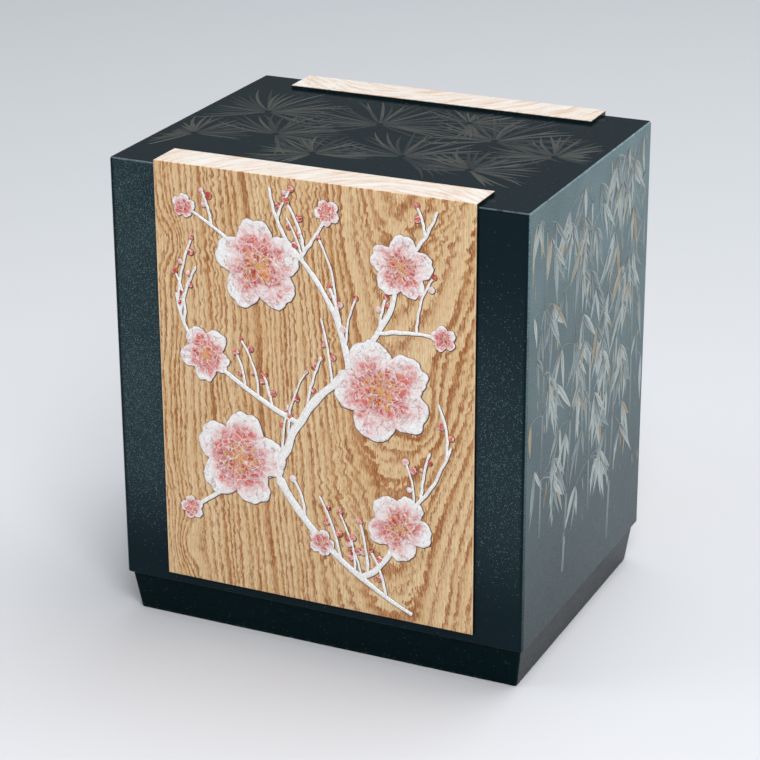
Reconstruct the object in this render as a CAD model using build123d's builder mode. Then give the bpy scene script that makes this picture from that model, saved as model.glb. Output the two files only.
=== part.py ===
"""Lacquered ornament box with two lift-out wooden boards, and three drawers behind the front board.

Millimetres. The front faces -Y and +Z is up. The origin is on the surface that the box stands on,
under the middle of the box.
"""

import os

from build123d import *

os.makedirs("parts", exist_ok=True)

# Lacquered body
body_width = 240.0
body_depth = 181.6
body_height = 244.2
side_thickness = 12.0
top_thickness = 12.0
bottom_thickness = 5.9
stile_width = 27.6
body_round = 1.6
rim_round = 0.9

# Tapered plinth under the body
plinth_height = 23.6
plinth_top_inset = 2.0
plinth_bottom_inset = 5.2
plinth_rail_width = 17.0
plinth_corner_round = 1.6
plinth_foot_round = 1.0

# Wooden boards, which lift out of the front and the back
board_thickness = 23.2
board_proud = 1.9
board_rise = 2.1
board_side_gap = 0.3
board_inner_gap = 0.5
board_arris = 0.4
tongue_thickness = 6.0
tongue_depth = 5.0
tongue_setback = 8.0
tongue_gap = 0.25

# Inlay on the boards
inlay_thickness = 0.6
bough_width = 5.2
branch_width = 3.4
twig_width = 1.9

# Drawer case between the boards
case_wall_thickness = 5.0
case_back_thickness = 5.0
shelf_thickness = 5.0
housing_depth = 2.0

# Drawers
drawer_count = 3
drawer_opening_height = 38.0
drawer_setback = 36.0
drawer_side_gap = 0.5
drawer_top_gap = 1.0
drawer_back_gap = 0.5
drawer_front_thickness = 8.0
drawer_wall_thickness = 6.0
drawer_lap = 4.0
drawer_bottom_thickness = 3.5
drawer_bottom_lift = 2.5
drawer_groove_depth = 2.5
drawer_front_round = 0.6

# Drawer knobs and the rosettes behind them
knob_head_radius = 4.6
knob_head_length = 4.4
knob_neck_radius = 2.4
knob_neck_length = 2.2
knob_head_round = 1.3
knob_stem_radius = 1.6
knob_stem_gap = 0.05
knob_rivet_radius = 3.2
knob_rivet_length = 0.8
rosette_radius = 7.0
rosette_thickness = 1.0
rosette_petal_count = 16
rosette_scallop_radius = 0.9

# Every cut runs past the faces that it opens by this much
overrun = 1.0

# Blossoms of the inlay: place across the board, place up the board, width, turn in degrees.
# Places across and widths are shares of the board's width, places up are shares of its height.
front_blossom_shares = [
    (-0.245, 0.325, 0.300, 8),
    (0.215, 0.545, 0.310, 40),
    (-0.170, 0.790, 0.280, 22),
    (0.270, 0.230, 0.205, 60),
    (0.275, 0.835, 0.195, 15),
    (-0.350, 0.565, 0.170, 50),
    (0.020, 0.155, 0.085, 0),
    (0.405, 0.690, 0.080, 30),
    (-0.405, 0.905, 0.075, 12),
    (0.050, 0.935, 0.080, 44),
    (-0.410, 0.180, 0.075, 33),
]
back_blossom_shares = [
    (0.230, 0.300, 0.300, 30),
    (-0.210, 0.590, 0.300, 12),
    (0.180, 0.800, 0.270, 55),
    (-0.290, 0.260, 0.200, 5),
    (-0.270, 0.870, 0.180, 27),
    (0.370, 0.560, 0.160, 41),
    (0.010, 0.130, 0.080, 18),
    (-0.410, 0.720, 0.080, 0),
    (0.400, 0.930, 0.075, 36),
]

# Branches of the inlay: start, a point on the way and end, each across and up the board, then the size.
front_branch_shares = [
    ((0.310, 0.020), (0.050, 0.140), (-0.120, 0.300), "bough"),
    ((-0.120, 0.300), (-0.040, 0.450), (0.110, 0.580), "bough"),
    ((0.110, 0.580), (0.060, 0.720), (-0.070, 0.850), "branch"),
    ((-0.070, 0.850), (-0.110, 0.910), (-0.130, 0.975), "twig"),
    ((0.140, 0.085), (0.230, 0.150), (0.290, 0.260), "branch"),
    ((0.290, 0.260), (0.370, 0.340), (0.430, 0.440), "twig"),
    ((-0.115, 0.310), (-0.270, 0.250), (-0.410, 0.180), "branch"),
    ((-0.050, 0.435), (-0.200, 0.490), (-0.350, 0.565), "branch"),
    ((-0.350, 0.565), (-0.410, 0.620), (-0.440, 0.700), "twig"),
    ((0.110, 0.585), (0.220, 0.700), (0.275, 0.835), "branch"),
    ((0.205, 0.680), (0.310, 0.690), (0.405, 0.690), "twig"),
    ((0.275, 0.835), (0.340, 0.900), (0.385, 0.970), "twig"),
    ((-0.040, 0.825), (0.015, 0.880), (0.050, 0.935), "twig"),
    ((-0.170, 0.790), (-0.300, 0.860), (-0.405, 0.905), "twig"),
    ((0.150, 0.090), (0.080, 0.120), (0.020, 0.155), "twig"),
]
back_branch_shares = [
    ((-0.300, 0.020), (-0.060, 0.120), (0.110, 0.270), "bough"),
    ((0.110, 0.270), (0.050, 0.450), (-0.100, 0.620), "bough"),
    ((-0.100, 0.620), (-0.020, 0.740), (0.100, 0.840), "branch"),
    ((0.100, 0.840), (0.130, 0.910), (0.140, 0.975), "twig"),
    ((-0.150, 0.075), (-0.240, 0.160), (-0.290, 0.260), "branch"),
    ((0.060, 0.430), (0.220, 0.480), (0.370, 0.560), "branch"),
    ((-0.100, 0.620), (-0.210, 0.730), (-0.270, 0.870), "branch"),
    ((-0.190, 0.700), (-0.310, 0.700), (-0.410, 0.720), "twig"),
    ((0.180, 0.800), (0.300, 0.870), (0.400, 0.930), "twig"),
    ((-0.100, 0.095), (-0.040, 0.110), (0.010, 0.130), "twig"),
]

# A blossom's petals, as shares of its width
petal_count = 5
petal_radius_share = 0.22
petal_place_share = 0.27
blossom_eye_share = 0.16

# Heights and distances that follow from the sizes
sill_top = plinth_height + bottom_thickness
body_top = plinth_height + body_height
ceiling = body_top - top_thickness
board_top = body_top + board_rise
board_height = board_top - sill_top
half_depth = body_depth / 2
opening_width = body_width - 2 * stile_width
board_width = opening_width - 2 * board_side_gap
board_inner = half_depth + board_proud - board_thickness
board_middle = half_depth + board_proud - board_thickness / 2
post_width = stile_width - side_thickness
post_depth = half_depth - board_inner
tongue_middle = half_depth - tongue_setback - tongue_thickness / 2
groove_depth = tongue_depth - board_side_gap + tongue_gap
case_half_depth = board_inner - board_inner_gap
case_back_face = case_half_depth - case_back_thickness
drawer_pitch = drawer_opening_height + shelf_thickness
drawer_width = opening_width - 2 * drawer_side_gap
drawer_height = drawer_opening_height - drawer_top_gap
drawer_face = drawer_setback - board_inner
drawer_end = case_back_face - drawer_back_gap
niche_floor = sill_top + drawer_count * drawer_pitch

# The front and the back of the box mirror each other, and so do its left and its right
ends = (("front", -1), ("back", 1))
sides = (("left", -1), ("right", 1))


def save(builder, name):
    """Label a finished piece and write it."""
    builder.part.label = name
    export_step(builder.part, f"parts/{name}.step")


# Top board, with a notch at each end for the wooden board and its tongues
with BuildPart() as top_board:
    with BuildSketch(Plane.XY.offset(ceiling)):
        Rectangle(body_width, body_depth)
    extrude(amount=top_thickness)
    fillet(top_board.edges().filter_by(Axis.Z), body_round)
    fillet(top_board.faces().sort_by(Axis.Z)[-1].edges(), body_round)
    notch_depth = post_depth + board_inner_gap
    notch_middle = half_depth + overrun / 2 - notch_depth / 2
    with BuildSketch(Plane.XY.offset(ceiling)):
        with Locations((0, notch_middle), (0, -notch_middle)):
            Rectangle(opening_width, notch_depth + overrun)
        with Locations((0, tongue_middle), (0, -tongue_middle)):
            Rectangle(opening_width + 2 * groove_depth, tongue_thickness + 2 * tongue_gap)
    extrude(amount=top_thickness + overrun, mode=Mode.SUBTRACT)
save(top_board, "top_board")

# Bottom board between the side boards, whose front edge is the sill under the wooden board
with BuildPart() as bottom_board:
    with BuildSketch(Plane.XY.offset(plinth_height)):
        Rectangle(body_width - 2 * side_thickness, body_depth)
    extrude(amount=bottom_thickness)
    lower_edges = bottom_board.faces().sort_by(Axis.Z)[0].edges()
    fillet(lower_edges.filter_by(Axis.X), rim_round)
save(bottom_board, "bottom_board")

# Side boards, rounded at their outer corners
for side, x_sign in sides:
    with BuildPart() as side_board:
        with BuildSketch(Plane.XY.offset(plinth_height)):
            with Locations((x_sign * (body_width - side_thickness) / 2, 0)):
                Rectangle(side_thickness, body_depth)
        extrude(amount=ceiling - plinth_height)
        inner_face = side_board.faces().sort_by(Axis.X)[-1 if x_sign < 0 else 0]
        outer_face = side_board.faces().sort_by(Axis.X)[0 if x_sign < 0 else -1]
        fillet(outer_face.edges().filter_by(Axis.Z), body_round)
        rim = side_board.faces().sort_by(Axis.Z)[0].edges()
        inner_edge = rim.sort_by_distance(inner_face.center())[0]
        fillet([edge for edge in rim if edge != inner_edge], rim_round)
    save(side_board, f"{side}_side")

# Corner posts, each with a groove for a board's tongue
for end, y_sign in ends:
    for side, x_sign in sides:
        with BuildPart() as post:
            post_x = x_sign * (opening_width + post_width) / 2
            post_y = y_sign * (half_depth - post_depth / 2)
            with BuildSketch(Plane.XY.offset(sill_top)):
                with Locations((post_x, post_y)):
                    Rectangle(post_width, post_depth)
                with Locations((x_sign * opening_width / 2, y_sign * tongue_middle)):
                    Rectangle(2 * groove_depth, tongue_thickness + 2 * tongue_gap, mode=Mode.SUBTRACT)
            extrude(amount=ceiling - sill_top)
        save(post, f"{end}_{side}_post")


def plinth_frame():
    """The whole tapered plinth, before it is cut into rails."""
    with BuildPart() as frame:
        with BuildSketch():
            Rectangle(body_width - 2 * plinth_bottom_inset, body_depth - 2 * plinth_bottom_inset)
        with BuildSketch(Plane.XY.offset(plinth_height)):
            Rectangle(body_width - 2 * plinth_top_inset, body_depth - 2 * plinth_top_inset)
        loft()
        foot = frame.faces().sort_by(Axis.Z)[0]
        head = frame.faces().sort_by(Axis.Z)[-1]
        corners = [edge for edge in frame.edges() if edge not in foot.edges() + head.edges()]
        fillet(corners, plinth_corner_round)
        fillet(frame.faces().sort_by(Axis.Z)[0].edges(), plinth_foot_round)
        with BuildSketch():
            Rectangle(body_width - 2 * plinth_rail_width, body_depth - 2 * plinth_rail_width)
        extrude(amount=plinth_height, mode=Mode.SUBTRACT)
    return frame.part


def rail_joint(y_sign):
    """The plane where the front or the back rail meets the side rails, facing outwards."""
    return Plane(origin=(0, y_sign * (half_depth - plinth_rail_width), 0), z_dir=(0, y_sign, 0))


whole_plinth = plinth_frame()

# Plinth rails: the front and back ones run the full width and hold the side ones between them
for end, y_sign in ends:
    with BuildPart() as plinth_rail:
        add(whole_plinth)
        split(bisect_by=rail_joint(y_sign), keep=Keep.TOP)
    save(plinth_rail, f"plinth_{end}")

for side, x_sign in sides:
    with BuildPart() as plinth_rail:
        add(whole_plinth)
        split(bisect_by=Plane(origin=(0, 0, 0), z_dir=(x_sign, 0, 0)), keep=Keep.TOP)
        for end, y_sign in ends:
            split(bisect_by=rail_joint(y_sign), keep=Keep.BOTTOM)
    save(plinth_rail, f"plinth_{side}")

# Wooden boards: a slab that stands proud of the front and the top, and a tongue along each side
for end, y_sign in ends:
    with BuildPart() as board:
        with BuildSketch(Plane.XY.offset(sill_top)):
            with Locations((0, y_sign * board_middle)):
                Rectangle(board_width, board_thickness)
        extrude(amount=board_height)
        show_face = board.faces().sort_by(Axis.Y)[0 if y_sign < 0 else -1]
        top_face = board.faces().sort_by(Axis.Z)[-1]
        fillet(list(set(show_face.edges() + top_face.edges())), board_arris)
        with BuildSketch(Plane.XY.offset(sill_top)):
            for side, x_sign in sides:
                with Locations((x_sign * (board_width + tongue_depth) / 2, y_sign * tongue_middle)):
                    Rectangle(tongue_depth, tongue_thickness)
        extrude(amount=body_top - sill_top)
    save(board, f"{end}_board")


def board_point(across_share, up_share):
    """A point on a board's face, from its middle at the bottom."""
    return (across_share * board_width, up_share * board_height)


# Inlay: blossoms of five round petals, and the branches between them
branch_widths = {"bough": bough_width, "branch": branch_width, "twig": twig_width}
inlay_shares = {
    "front": (front_blossom_shares, front_branch_shares),
    "back": (back_blossom_shares, back_branch_shares),
}
for end, y_sign in ends:
    blossom_shares, branch_shares = inlay_shares[end]
    show_plane = Plane(
        origin=(0, y_sign * (half_depth + board_proud), sill_top),
        x_dir=(-y_sign, 0, 0),
        z_dir=(0, y_sign, 0),
    )
    with BuildPart() as blossoms:
        with BuildSketch(show_plane):
            for across_share, up_share, width_share, turn in blossom_shares:
                blossom_width = width_share * board_width
                with Locations(board_point(across_share, up_share)):
                    Circle(blossom_eye_share * blossom_width)
                    with PolarLocations(petal_place_share * blossom_width, petal_count, start_angle=turn):
                        Circle(petal_radius_share * blossom_width)
        extrude(amount=inlay_thickness)
    save(blossoms, f"{end}_inlay_blossoms")
    with BuildPart() as branches:
        for *point_shares, size in branch_shares:
            with BuildSketch(show_plane):
                with BuildLine():
                    ThreePointArc([board_point(*point_share) for point_share in point_shares])
                trace(line_width=branch_widths[size])
        extrude(amount=inlay_thickness)
        add(blossoms.part, mode=Mode.SUBTRACT)
    save(branches, f"{end}_inlay_branches")

# Case walls beside the drawers, with housings for the shelves
shelf_levels = [sill_top + (level + 1) * drawer_pitch - shelf_thickness for level in range(drawer_count)]
for side, x_sign in sides:
    with BuildPart() as case_wall:
        with BuildSketch(Plane.XY.offset(sill_top)):
            with Locations((x_sign * (opening_width + case_wall_thickness) / 2, 0)):
                Rectangle(case_wall_thickness, 2 * board_inner)
        extrude(amount=ceiling - sill_top)
        for level in shelf_levels:
            shelf_front = -case_half_depth if level == shelf_levels[-1] else drawer_face
            shelf_end = case_half_depth if level == shelf_levels[-1] else case_back_face
            with BuildSketch(Plane.XY.offset(level)):
                with Locations((x_sign * opening_width / 2, (shelf_front + shelf_end) / 2)):
                    Rectangle(2 * housing_depth, shelf_end - shelf_front)
            extrude(amount=shelf_thickness, mode=Mode.SUBTRACT)
    save(case_wall, f"case_{side}_wall")

# Niche shelf over the drawers, as deep as the room between the wooden boards
with BuildPart() as niche_shelf:
    with BuildSketch(Plane.XY.offset(shelf_levels[-1])):
        Rectangle(opening_width + 2 * housing_depth, 2 * case_half_depth)
    extrude(amount=shelf_thickness)
save(niche_shelf, "niche_shelf")

# Case back behind the drawers
with BuildPart() as case_back:
    with BuildSketch(Plane.XY.offset(sill_top)):
        with Locations((0, case_half_depth - case_back_thickness / 2)):
            Rectangle(opening_width, case_back_thickness)
    extrude(amount=niche_floor - shelf_thickness - sill_top)
save(case_back, "case_back")

# Shelves between the drawers
for number, level in enumerate(shelf_levels[:-1], start=1):
    with BuildPart() as drawer_shelf:
        with BuildSketch(Plane.XY.offset(level)):
            with Locations((0, (drawer_face + case_back_face) / 2)):
                Rectangle(opening_width + 2 * housing_depth, case_back_face - drawer_face)
        extrude(amount=shelf_thickness)
    save(drawer_shelf, f"drawer_shelf_{number}")

# Drawers, from the bottom up
side_front = drawer_face + drawer_front_thickness - drawer_lap
side_length = drawer_end - side_front
back_width = drawer_width - 2 * drawer_wall_thickness
bottom_width = back_width + 2 * drawer_groove_depth
bottom_front = drawer_face + drawer_front_thickness - drawer_groove_depth
bottom_end = drawer_end - drawer_wall_thickness + drawer_groove_depth
bottom_depth = bottom_end - bottom_front
bottom_middle = (bottom_front + bottom_end) / 2

for number in range(1, drawer_count + 1):
    drawer = f"drawer_{number}"
    drawer_floor = sill_top + (number - 1) * drawer_pitch
    knob_height = drawer_floor + drawer_height / 2
    bottom_level = drawer_floor + drawer_bottom_lift
    face_plane = Plane(origin=(0, drawer_face, knob_height), x_dir=(1, 0, 0), z_dir=(0, -1, 0))

    with BuildPart() as drawer_front:
        with BuildSketch(Plane.XY.offset(drawer_floor)):
            with Locations((0, drawer_face + drawer_front_thickness / 2)):
                Rectangle(drawer_width, drawer_front_thickness)
            for side, x_sign in sides:
                with Locations((x_sign * drawer_width / 2, drawer_face + drawer_front_thickness)):
                    Rectangle(2 * drawer_wall_thickness, 2 * drawer_lap, mode=Mode.SUBTRACT)
        extrude(amount=drawer_height)
        fillet(drawer_front.faces().sort_by(Axis.Y)[0].edges(), drawer_front_round)
        with BuildSketch(Plane.XY.offset(bottom_level)):
            with Locations((0, bottom_middle)):
                Rectangle(bottom_width, bottom_depth)
        extrude(amount=drawer_bottom_thickness, mode=Mode.SUBTRACT)
        with Locations(face_plane):
            Hole(knob_stem_radius + knob_stem_gap)
    save(drawer_front, f"{drawer}_front")

    for side, x_sign in sides:
        with BuildPart() as drawer_side:
            side_x = x_sign * (drawer_width - drawer_wall_thickness) / 2
            with BuildSketch(Plane.XY.offset(drawer_floor)):
                with Locations((side_x, drawer_end - side_length / 2)):
                    Rectangle(drawer_wall_thickness, side_length)
            extrude(amount=drawer_height)
            with BuildSketch(Plane.XY.offset(bottom_level)):
                with Locations((0, bottom_middle)):
                    Rectangle(bottom_width, bottom_depth)
            extrude(amount=drawer_bottom_thickness, mode=Mode.SUBTRACT)
        save(drawer_side, f"{drawer}_{side}_side")

    with BuildPart() as drawer_back:
        with BuildSketch(Plane.XY.offset(drawer_floor)):
            with Locations((0, drawer_end - drawer_wall_thickness / 2)):
                Rectangle(back_width, drawer_wall_thickness)
        extrude(amount=drawer_height)
        with BuildSketch(Plane.XY.offset(bottom_level)):
            with Locations((0, bottom_middle)):
                Rectangle(bottom_width, bottom_depth)
        extrude(amount=drawer_bottom_thickness, mode=Mode.SUBTRACT)
    save(drawer_back, f"{drawer}_back")

    with BuildPart() as drawer_bottom:
        with BuildSketch(Plane.XY.offset(bottom_level)):
            with Locations((0, bottom_middle)):
                Rectangle(bottom_width, bottom_depth)
        extrude(amount=drawer_bottom_thickness)
    save(drawer_bottom, f"{drawer}_bottom")

    with BuildPart() as rosette:
        with BuildSketch(face_plane):
            Circle(rosette_radius)
            with PolarLocations(rosette_radius, rosette_petal_count):
                Circle(rosette_scallop_radius, mode=Mode.SUBTRACT)
            Circle(knob_stem_radius + knob_stem_gap, mode=Mode.SUBTRACT)
        extrude(amount=rosette_thickness)
    save(rosette, f"{drawer}_rosette")

    # The knob's stem goes through the rosette and the front, and is riveted over inside
    with BuildPart() as knob:
        with BuildSketch(face_plane.offset(rosette_thickness)):
            Circle(knob_neck_radius)
        extrude(amount=knob_neck_length)
        with BuildSketch(face_plane.offset(rosette_thickness + knob_neck_length)):
            Circle(knob_head_radius)
        extrude(amount=knob_head_length)
        head_rims = knob.edges().filter_by(GeomType.CIRCLE).group_by(SortBy.RADIUS)[-1]
        fillet(head_rims, knob_head_round)
        with BuildSketch(face_plane.offset(rosette_thickness)):
            Circle(knob_stem_radius)
        extrude(amount=-(rosette_thickness + drawer_front_thickness))
        with BuildSketch(face_plane.offset(-drawer_front_thickness)):
            Circle(knob_rivet_radius)
        extrude(amount=-knob_rivet_length)
    save(knob, f"{drawer}_knob")
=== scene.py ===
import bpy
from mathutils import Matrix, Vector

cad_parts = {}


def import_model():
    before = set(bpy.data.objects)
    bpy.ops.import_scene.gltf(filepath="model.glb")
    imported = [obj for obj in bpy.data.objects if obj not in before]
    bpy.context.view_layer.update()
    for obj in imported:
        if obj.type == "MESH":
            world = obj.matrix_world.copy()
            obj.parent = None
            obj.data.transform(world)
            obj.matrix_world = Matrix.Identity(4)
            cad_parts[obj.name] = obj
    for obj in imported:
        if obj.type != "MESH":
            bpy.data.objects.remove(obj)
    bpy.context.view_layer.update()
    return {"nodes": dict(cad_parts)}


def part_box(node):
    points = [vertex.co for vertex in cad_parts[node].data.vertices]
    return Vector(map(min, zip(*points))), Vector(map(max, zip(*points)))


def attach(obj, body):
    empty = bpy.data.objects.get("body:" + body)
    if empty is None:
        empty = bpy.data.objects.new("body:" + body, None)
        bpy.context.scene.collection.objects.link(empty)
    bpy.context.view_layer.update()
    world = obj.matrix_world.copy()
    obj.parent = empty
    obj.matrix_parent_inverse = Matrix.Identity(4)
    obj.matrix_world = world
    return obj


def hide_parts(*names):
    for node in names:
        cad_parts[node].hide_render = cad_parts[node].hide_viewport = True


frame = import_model()

import fnmatch
import math
import random

import bmesh
import bpy
from mathutils import Matrix, Vector, noise

MM = 0.001

# Places that the frame gives, in millimetres, as are all sizes below where no other unit is named
board_gap = 0.3
pine_gap = 2.0
body_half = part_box("right_side")[1].x / MM
body_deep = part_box("right_side")[1].y / MM
body_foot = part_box("right_side")[0].z / MM
body_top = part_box("top_board")[1].z / MM
body_tall = body_top - body_foot
board_low, board_high = (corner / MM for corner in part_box("front_board"))
board_half = -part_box("front_left_post")[1].x / MM - board_gap
board_tall = board_high.z - board_low.z
inlay_proud = -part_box("front_inlay_blossoms")[0].y / MM + board_low.y
pine_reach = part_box("back_board")[0].y / MM - pine_gap

# Camera, fitted to the box's corners in the photograph
lens_length = 120.0
sensor_width = 36.0
camera_target = Vector((-4.41, 0.0, 125.81)) * MM
camera_azimuth = math.radians(24.93)
camera_elevation = math.radians(21.9)
camera_roll = math.radians(-0.263)
camera_distance = 1426.1 * MM

# Lamps: place and aim, side, all in metres, and power in watts
lamps = {
    "key_lamp": ((0.9, -1.3, 1.9), (0, 0, 0.1), 0.9, 35.2),
    "top_lamp": ((0.6, 0.77, 2.7), (0, 0, 0.1), 2.04, 60),
    "left_lamp": ((-1.7, -1.15, 1.75), (0, 0, 0.12), 1.2, 11.0),
}

# World: two heights of direction, as sines, that its light fades between, and its strength at each
world_fade = (0.2, 0.95, 0.16, 0.63)
world_colour = (0.95, 0.98, 1.0, 1.0)

# Floor: half its side in metres, and where its painted shade starts and ends to darken it towards the back
floor_half = 7.0
floor_shade_fade = (-250, 900)

# Inlay: blossoms as place across and up and width, in thousandths of the board, and turn in degrees
front_blossoms = [
    (-245, 325, 300, 8), (215, 545, 310, 40), (-170, 790, 280, 22), (270, 230, 205, 60),
    (275, 835, 195, 15), (-350, 565, 170, 50), (20, 155, 85, 0), (405, 690, 80, 30),
    (-405, 905, 75, 12), (50, 935, 80, 44), (-410, 180, 75, 33),
]
back_blossoms = [
    (230, 300, 300, 30), (-210, 590, 300, 12), (180, 800, 270, 55), (-290, 260, 200, 5),
    (-270, 870, 180, 27), (370, 560, 160, 41), (10, 130, 80, 18), (-410, 720, 80, 0),
    (400, 930, 75, 36),
]

# Inlay: branches as start, a point on the way and end, also in thousandths, then the width at both ends
front_branches = [
    ((310, 20), (50, 140), (-120, 300), 2.4, 5.4),
    ((-120, 300), (-40, 450), (110, 580), 5.0, 4.2),
    ((110, 580), (60, 720), (-70, 850), 4.0, 2.6),
    ((-70, 850), (-110, 910), (-130, 975), 2.4, 1.6),
    ((140, 85), (230, 150), (290, 260), 3.6, 2.6),
    ((290, 260), (370, 340), (430, 440), 2.4, 1.5),
    ((-115, 310), (-270, 250), (-410, 180), 3.6, 2.0),
    ((-50, 435), (-200, 490), (-350, 565), 3.6, 2.4),
    ((-350, 565), (-410, 620), (-440, 700), 2.2, 1.5),
    ((110, 585), (220, 700), (275, 835), 3.6, 2.4),
    ((205, 680), (310, 690), (405, 690), 2.4, 1.7),
    ((275, 835), (340, 900), (385, 970), 2.2, 1.5),
    ((-40, 825), (15, 880), (50, 935), 2.2, 1.6),
    ((-170, 790), (-300, 860), (-405, 905), 2.2, 1.6),
    ((150, 90), (80, 120), (20, 155), 2.4, 1.7),
]
back_branches = [
    ((-300, 20), (-60, 120), (110, 270), 2.4, 5.4),
    ((110, 270), (50, 450), (-100, 620), 5.0, 4.2),
    ((-100, 620), (-20, 740), (100, 840), 4.0, 2.6),
    ((100, 840), (130, 910), (140, 975), 2.4, 1.6),
    ((-150, 75), (-240, 160), (-290, 260), 3.6, 2.4),
    ((60, 430), (220, 480), (370, 560), 3.6, 2.2),
    ((-100, 620), (-210, 730), (-270, 870), 3.6, 2.2),
    ((-190, 700), (-310, 700), (-410, 720), 2.4, 1.7),
    ((180, 800), (300, 870), (400, 930), 2.2, 1.6),
    ((-100, 95), (-40, 110), (10, 130), 2.4, 1.7),
]

# Petal rings of a blossom: number of petals, place, radius and height as shares, and turn in petals
outer_petals = (5, 0.272, 0.215, 0.78, 0.0)
inner_petals = (5, 0.13, 0.135, 0.97, 0.5)
double_width = 20.0

# Petals, from the middle out to the rolled rim, and their beds: share of the radius and of the height
petal_spokes = 52
petal_levels = (
    (0.14, 0.55), (0.28, 0.52), (0.42, 0.52), (0.55, 0.56), (0.66, 0.64),
    (0.76, 0.78), (0.85, 0.92), (0.92, 0.9), (0.97, 0.74), (1.0, 0.42),
)
bed_levels = ((0.5, 1.0), (0.98, 1.0), (1.0, 0.8))
bed_height = 0.1
bed_spread = 0.3
# The beds are shifted down and to the right, to show there as a painted shadow of the shell
bed_shadow_shift = Vector((0.2, -0.17))

# Petal's outline: strength and fineness of its ruffles, shares of its radius, and the notch's half angle
petal_ruffles = ((1.0, 1.5), (0.55, 3.6), (0.25, 8.0))
ruffle_share = 0.13
notch_share = 0.13
notch_angle = 0.2
stretch_share = 0.12

# Stamens: how many on a small and on a large double blossom, length as a share of the blossom's width
large_width = 40.0
stamen_counts = (14, 22)
stamen_shares = (0.09, 0.19)
stamen_widths = (0.55, 0.5, 0.45, 0.42, 0.4, 0.36)
stamen_start = 0.6
stamen_bend = 0.6

# Domes, above the foot: share of the radius and of the height
bead_spokes = 14
bead_levels = ((0.97, 0.4), (0.8, 0.75), (0.45, 0.95))

# Section of a strip: place across as a share of its width, and height as a share, or none at the sunk foot
strip_section = (
    (-0.5, None), (-0.43, 0.55), (-0.22, 0.93), (0.0, 1.0), (0.22, 0.93), (0.43, 0.55), (0.5, None),
)
sunk_depth = 0.05

# Branches, their young shoots and the buds on those. Clear values are shares of a blossom's width
branch_steps = 26
branch_low = 0.06
bed_low = 0.04
branch_wobble = 0.22
branch_sway = 0.35
branch_tip = (1.15, 0.55)
clear_start = 0.36
clear_ramp = 0.1
shoot_steps = 14
shoot_checks = 8
shoot_lean = (0.12, 0.5)
shoot_sway = (0.02, 0.09)
shoot_length = (16, 44)
shoot_width = (1.4, 2.0)
shoot_apart = 7.0
shoot_side_gap = 7.0
shoot_top_gap = 5.0
bud_radius = (1.2, 2.2)
bud_gap = 0.4
bud_places = (4, 6, 8, 10)
bud_skip = 0.35

# Bamboo: stalks as place across, lean, foot and tip above the body's foot, and width
right_stalks = [
    (-70, 0.02, 58, 230, 2.8),
    (-34, 0.08, 22, 234, 3.6),
    (4, -0.03, 40, 224, 2.6),
    (36, 0.06, 12, 234, 3.6),
    (70, -0.03, 70, 230, 2.6),
]
left_stalks = [
    (-70, 0.03, 64, 230, 2.6),
    (-40, -0.06, 18, 234, 3.6),
    (-4, 0.04, 44, 222, 2.6),
    (34, -0.07, 14, 234, 3.6),
    (70, -0.02, 60, 230, 2.8),
]
relief_height = 0.14
edge_gap = 4.0
joint_apart = (20, 48)
joint_gap = 0.6
cane_shares = (0.7, 1.0, 0.94, 0.92, 0.94, 1.0, 0.7)
leaf_start = 70.0
twig_reach = (5, 21)
twig_rise = (-12, 14)
twig_arch = 1.5
twig_widths = (1.0, 0.95, 0.9, 0.8, 0.7, 0.6)
leaf_length = (26, 38)
leaf_width = (3.6, 5.4)
leaf_count = (3, 5)
leaf_spread = (0.34, 0.52)
leaf_swing = (0.1, 0.75)
swing_limit = 0.8
leaf_shrink = 0.22
leaf_shares = (0.16, 0.55, 0.85, 0.98, 1.0, 0.93, 0.8, 0.62, 0.42, 0.22, 0.05)
fleck_count = 90
fleck_length = (2.5, 11.0)
fleck_width = (0.8, 1.4)
fleck_shares = (0.4, 0.9, 1.0, 1.0, 0.8, 0.3)

# Pine fans on the top: place across and back, size and turn in degrees
pine_fans = [
    (-82, 20, 46, 95), (-58, -18, 42, 60), (-100, -34, 34, 120), (-14, 22, 50, 100), (22, -28, 46, 75),
    (-24, -42, 36, 130), (56, 18, 50, 85), (96, 4, 40, 110), (64, -36, 36, 75), (30, 44, 34, 40),
]
fan_degrees = 250
top_gap = 3.0
needle_count = 30
needle_start = 2.0
needle_width = 2.1
needle_shares = (0.45, 0.8, 1.0, 1.0, 0.9, 0.6, 0.15)
needle_cuts = (1.0, 0.8, 0.6, 0.4)

# Gold motifs on a drawer's front: radius, how many, and whether whole blossoms or loose petals
drawer_motifs = [(6.5, 5, True), (4.6, 4, True), (2.0, 13, False)]
drawer_side_gap = 5.0
drawer_top_gap = 4.0
motif_apart = 2.5
rosette_clear = 9.0
gold_petal_height = 0.3
gold_heart_height = 0.34
loose_petal_height = 0.25

# Gold water on a drawer's front: levels as shares of half its height, waves as height, length and phases
stream_level_shares = (-0.7, -0.42, -0.14, 0.45)
stream_waves = ((2.4, 16, 1), (1.0, 6.5, 2))
stream_steps = 90
stream_tip_width = 0.25
stream_swell = 0.55
stream_height = 0.16

# Wood: the pith's place across each board, how far it lies behind the face, and the rings' width
front_pith = 43.0
back_pith = -31.0
pith_depth = 62.0
ring_pitch = 3.1

# Small swirls in the wood's rings: place across and up, how far they push the rings, and size
front_knots = [(-80, 50, -8, 9), (-82, 226, 7, 9), (62, 150, -6, 12)]
back_knots = [(70, 60, 8, 10), (-76, 180, -8, 9), (20, 220, 6, 11)]

# How far inside the body's faces a finish starts to change to the face's own, and where the change is full
skin_start = 0.9
skin_full = 0.5
# Where the painted highlight on the body's rounded edges starts, inside the faces
edge_highlight_start = 1.1


def shown(red, green, blue):
    """Linear colour from the 0 to 255 values that a screen shows."""
    values = []
    for level in (red, green, blue):
        share = level / 255
        values.append(share / 12.92 if share <= 0.04045 else ((share + 0.055) / 1.055) ** 2.4)
    return (*values, 1.0)


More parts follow.
